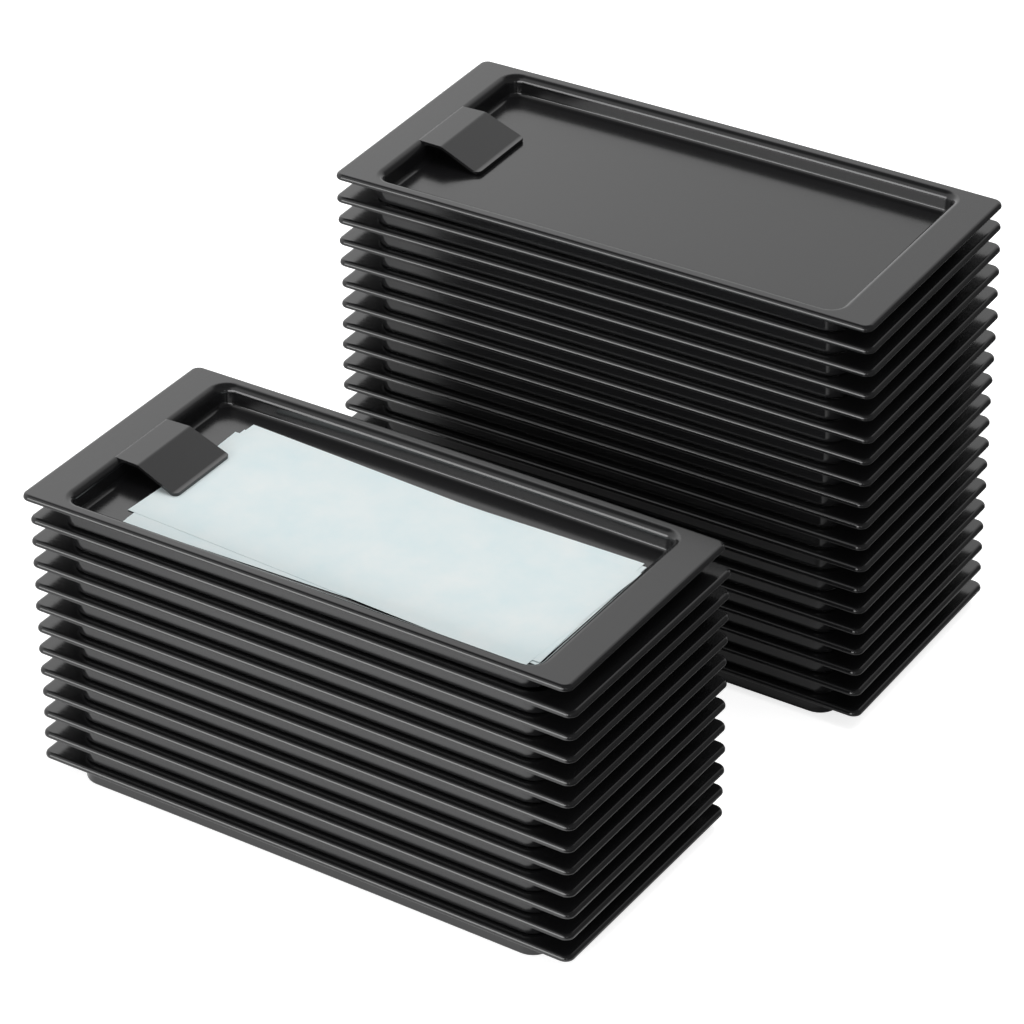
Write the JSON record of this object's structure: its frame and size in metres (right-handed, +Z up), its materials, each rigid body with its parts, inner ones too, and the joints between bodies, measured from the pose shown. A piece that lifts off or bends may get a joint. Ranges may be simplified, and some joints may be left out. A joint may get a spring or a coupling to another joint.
{
  "type": "guest check presenter tray set",
  "caption": "Shallow rectangular plastic trays stacked in two piles, each with a sloping clip moulded in one end to hold a guest's check; slips lie under one clip.",
  "frame": {"origin": "centre of the underside of the front stack's lowest tray, on the surface that it stands on", "axes": "+X along the trays' length, away from the clips; +Y from the front stack to the rear stack; +Z up"},
  "size_m": [0.2216, 0.2713, 0.1632],
  "materials": {
    "tray_plastic": "semi-gloss moulded",
    "slip_paper": "plain uncoated paper"
  },
  "bodies": {
    "front_tray_01": {"front_tray_01": "tray_plastic"},
    "front_tray_02": {"front_tray_02": "tray_plastic"},
    "front_tray_03": {"front_tray_03": "tray_plastic"},
    "front_tray_04": {"front_tray_04": "tray_plastic"},
    "front_tray_05": {"front_tray_05": "tray_plastic"},
    "front_tray_06": {"front_tray_06": "tray_plastic"},
    "front_tray_07": {"front_tray_07": "tray_plastic"},
    "front_tray_08": {"front_tray_08": "tray_plastic"},
    "front_tray_09": {"front_tray_09": "tray_plastic"},
    "front_tray_10": {"front_tray_10": "tray_plastic"},
    "front_tray_11": {"front_tray_11": "tray_plastic"},
    "front_tray_12": {"front_tray_12": "tray_plastic"},
    "front_tray_13": {"front_tray_13": "tray_plastic"},
    "front_clip": {"front_clip": "tray_plastic"},
    "rear_tray_01": {"rear_tray_01": "tray_plastic"},
    "rear_tray_02": {"rear_tray_02": "tray_plastic"},
    "rear_tray_03": {"rear_tray_03": "tray_plastic"},
    "rear_tray_04": {"rear_tray_04": "tray_plastic"},
    "rear_tray_05": {"rear_tray_05": "tray_plastic"},
    "rear_tray_06": {"rear_tray_06": "tray_plastic"},
    "rear_tray_07": {"rear_tray_07": "tray_plastic"},
    "rear_tray_08": {"rear_tray_08": "tray_plastic"},
    "rear_tray_09": {"rear_tray_09": "tray_plastic"},
    "rear_tray_10": {"rear_tray_10": "tray_plastic"},
    "rear_tray_11": {"rear_tray_11": "tray_plastic"},
    "rear_tray_12": {"rear_tray_12": "tray_plastic"},
    "rear_tray_13": {"rear_tray_13": "tray_plastic"},
    "rear_tray_14": {"rear_tray_14": "tray_plastic"},
    "rear_tray_15": {"rear_tray_15": "tray_plastic"},
    "rear_tray_16": {"rear_tray_16": "tray_plastic"},
    "rear_tray_17": {"rear_tray_17": "tray_plastic"},
    "rear_tray_18": {"rear_tray_18": "tray_plastic"},
    "rear_tray_19": {"rear_tray_19": "tray_plastic"},
    "rear_clip": {"rear_clip": "tray_plastic"},
    "slip_1": {"slip_1": "slip_paper"},
    "slip_2": {"slip_2": "slip_paper"},
    "slip_3": {"slip_3": "slip_paper"}
  },
  "joints": [
    {"name": "front_clip_flex", "type": "hinge", "parent": "front_tray_13", "child": "front_clip", "pos_m": [-0.09212, -0.00139, 0.1095], "axis": [0.0068, -0.9999, -0.009], "range_deg": [0, 12], "stiffness_Nm_per_rad": 1},
    {"name": "rear_clip_flex", "type": "hinge", "parent": "rear_tray_19", "child": "rear_clip", "pos_m": [-0.08181, 0.16384, 0.15936], "axis": [0.0133, -0.9993, -0.0363], "range_deg": [0, 12], "stiffness_Nm_per_rad": 1},
    {"name": "slip_1_slide", "type": "slide", "parent": "front_tray_13", "child": "slip_1", "axis": [1, 0.0068, 0.0017], "range_m": [0, 0.0015]},
    {"name": "slip_2_slide", "type": "slide", "parent": "front_tray_13", "child": "slip_2", "axis": [1, 0.0068, 0.0017], "range_m": [0, 0.0015]},
    {"name": "slip_3_slide", "type": "slide", "parent": "front_tray_13", "child": "slip_3", "axis": [1, 0.0068, 0.0017], "range_m": [0, 0.0005]},
    {"name": "front_tray_13_lift", "type": "slide", "parent": "front_tray_12", "child": "front_tray_13", "axis": [0, 0, 1], "range_m": [0, 0.03]},
    {"name": "front_tray_12_lift", "type": "slide", "parent": "front_tray_11", "child": "front_tray_12", "axis": [0, 0, 1], "range_m": [0, 0.03]},
    {"name": "front_tray_11_lift", "type": "slide", "parent": "front_tray_10", "child": "front_tray_11", "axis": [0, 0, 1], "range_m": [0, 0.03]},
    {"name": "front_tray_10_lift", "type": "slide", "parent": "front_tray_09", "child": "front_tray_10", "axis": [0, 0, 1], "range_m": [0, 0.03]},
    {"name": "front_tray_09_lift", "type": "slide", "parent": "front_tray_08", "child": "front_tray_09", "axis": [0, 0, 1], "range_m": [0, 0.03]},
    {"name": "front_tray_08_lift", "type": "slide", "parent": "front_tray_07", "child": "front_tray_08", "axis": [0, 0, 1], "range_m": [0, 0.03]},
    {"name": "front_tray_07_lift", "type": "slide", "parent": "front_tray_06", "child": "front_tray_07", "axis": [0, 0, 1], "range_m": [0, 0.03]},
    {"name": "front_tray_06_lift", "type": "slide", "parent": "front_tray_05", "child": "front_tray_06", "axis": [0, 0, 1], "range_m": [0, 0.03]},
    {"name": "front_tray_05_lift", "type": "slide", "parent": "front_tray_04", "child": "front_tray_05", "axis": [0, 0, 1], "range_m": [0, 0.03]},
    {"name": "front_tray_04_lift", "type": "slide", "parent": "front_tray_03", "child": "front_tray_04", "axis": [0, 0, 1], "range_m": [0, 0.03]},
    {"name": "front_tray_03_lift", "type": "slide", "parent": "front_tray_02", "child": "front_tray_03", "axis": [0, 0, 1], "range_m": [0, 0.03]},
    {"name": "front_tray_02_lift", "type": "slide", "parent": "front_tray_01", "child": "front_tray_02", "axis": [0, 0, 1], "range_m": [0, 0.03]},
    {"name": "rear_tray_19_lift", "type": "slide", "parent": "rear_tray_18", "child": "rear_tray_19", "axis": [0, 0, 1], "range_m": [0, 0.03]},
    {"name": "rear_tray_18_lift", "type": "slide", "parent": "rear_tray_17", "child": "rear_tray_18", "axis": [0, 0, 1], "range_m": [0, 0.03]},
    {"name": "rear_tray_17_lift", "type": "slide", "parent": "rear_tray_16", "child": "rear_tray_17", "axis": [0, 0, 1], "range_m": [0, 0.03]},
    {"name": "rear_tray_16_lift", "type": "slide", "parent": "rear_tray_15", "child": "rear_tray_16", "axis": [0, 0, 1], "range_m": [0, 0.03]},
    {"name": "rear_tray_15_lift", "type": "slide", "parent": "rear_tray_14", "child": "rear_tray_15", "axis": [0, 0, 1], "range_m": [0, 0.03]},
    {"name": "rear_tray_14_lift", "type": "slide", "parent": "rear_tray_13", "child": "rear_tray_14", "axis": [0, 0, 1], "range_m": [0, 0.03]},
    {"name": "rear_tray_13_lift", "type": "slide", "parent": "rear_tray_12", "child": "rear_tray_13", "axis": [0, 0, 1], "range_m": [0, 0.03]},
    {"name": "rear_tray_12_lift", "type": "slide", "parent": "rear_tray_11", "child": "rear_tray_12", "axis": [0, 0, 1], "range_m": [0, 0.03]},
    {"name": "rear_tray_11_lift", "type": "slide", "parent": "rear_tray_10", "child": "rear_tray_11", "axis": [0, 0, 1], "range_m": [0, 0.03]},
    {"name": "rear_tray_10_lift", "type": "slide", "parent": "rear_tray_09", "child": "rear_tray_10", "axis": [0, 0, 1], "range_m": [0, 0.03]},
    {"name": "rear_tray_09_lift", "type": "slide", "parent": "rear_tray_08", "child": "rear_tray_09", "axis": [0, 0, 1], "range_m": [0, 0.03]},
    {"name": "rear_tray_08_lift", "type": "slide", "parent": "rear_tray_07", "child": "rear_tray_08", "axis": [0, 0, 1], "range_m": [0, 0.03]},
    {"name": "rear_tray_07_lift", "type": "slide", "parent": "rear_tray_06", "child": "rear_tray_07", "axis": [0, 0, 1], "range_m": [0, 0.03]},
    {"name": "rear_tray_06_lift", "type": "slide", "parent": "rear_tray_05", "child": "rear_tray_06", "axis": [0, 0, 1], "range_m": [0, 0.03]},
    {"name": "rear_tray_05_lift", "type": "slide", "parent": "rear_tray_04", "child": "rear_tray_05", "axis": [0, 0, 1], "range_m": [0, 0.03]},
    {"name": "rear_tray_04_lift", "type": "slide", "parent": "rear_tray_03", "child": "rear_tray_04", "axis": [0, 0, 1], "range_m": [0, 0.03]},
    {"name": "rear_tray_03_lift", "type": "slide", "parent": "rear_tray_02", "child": "rear_tray_03", "axis": [0, 0, 1], "range_m": [0, 0.03]},
    {"name": "rear_tray_02_lift", "type": "slide", "parent": "rear_tray_01", "child": "rear_tray_02", "axis": [0, 0, 1], "range_m": [0, 0.03]},
    {"name": "rear_stack_shift", "type": "slide", "parent": "front_tray_01", "child": "rear_tray_01", "axis": [0, 1, 0], "range_m": [0, 0.05]}
  ]
}
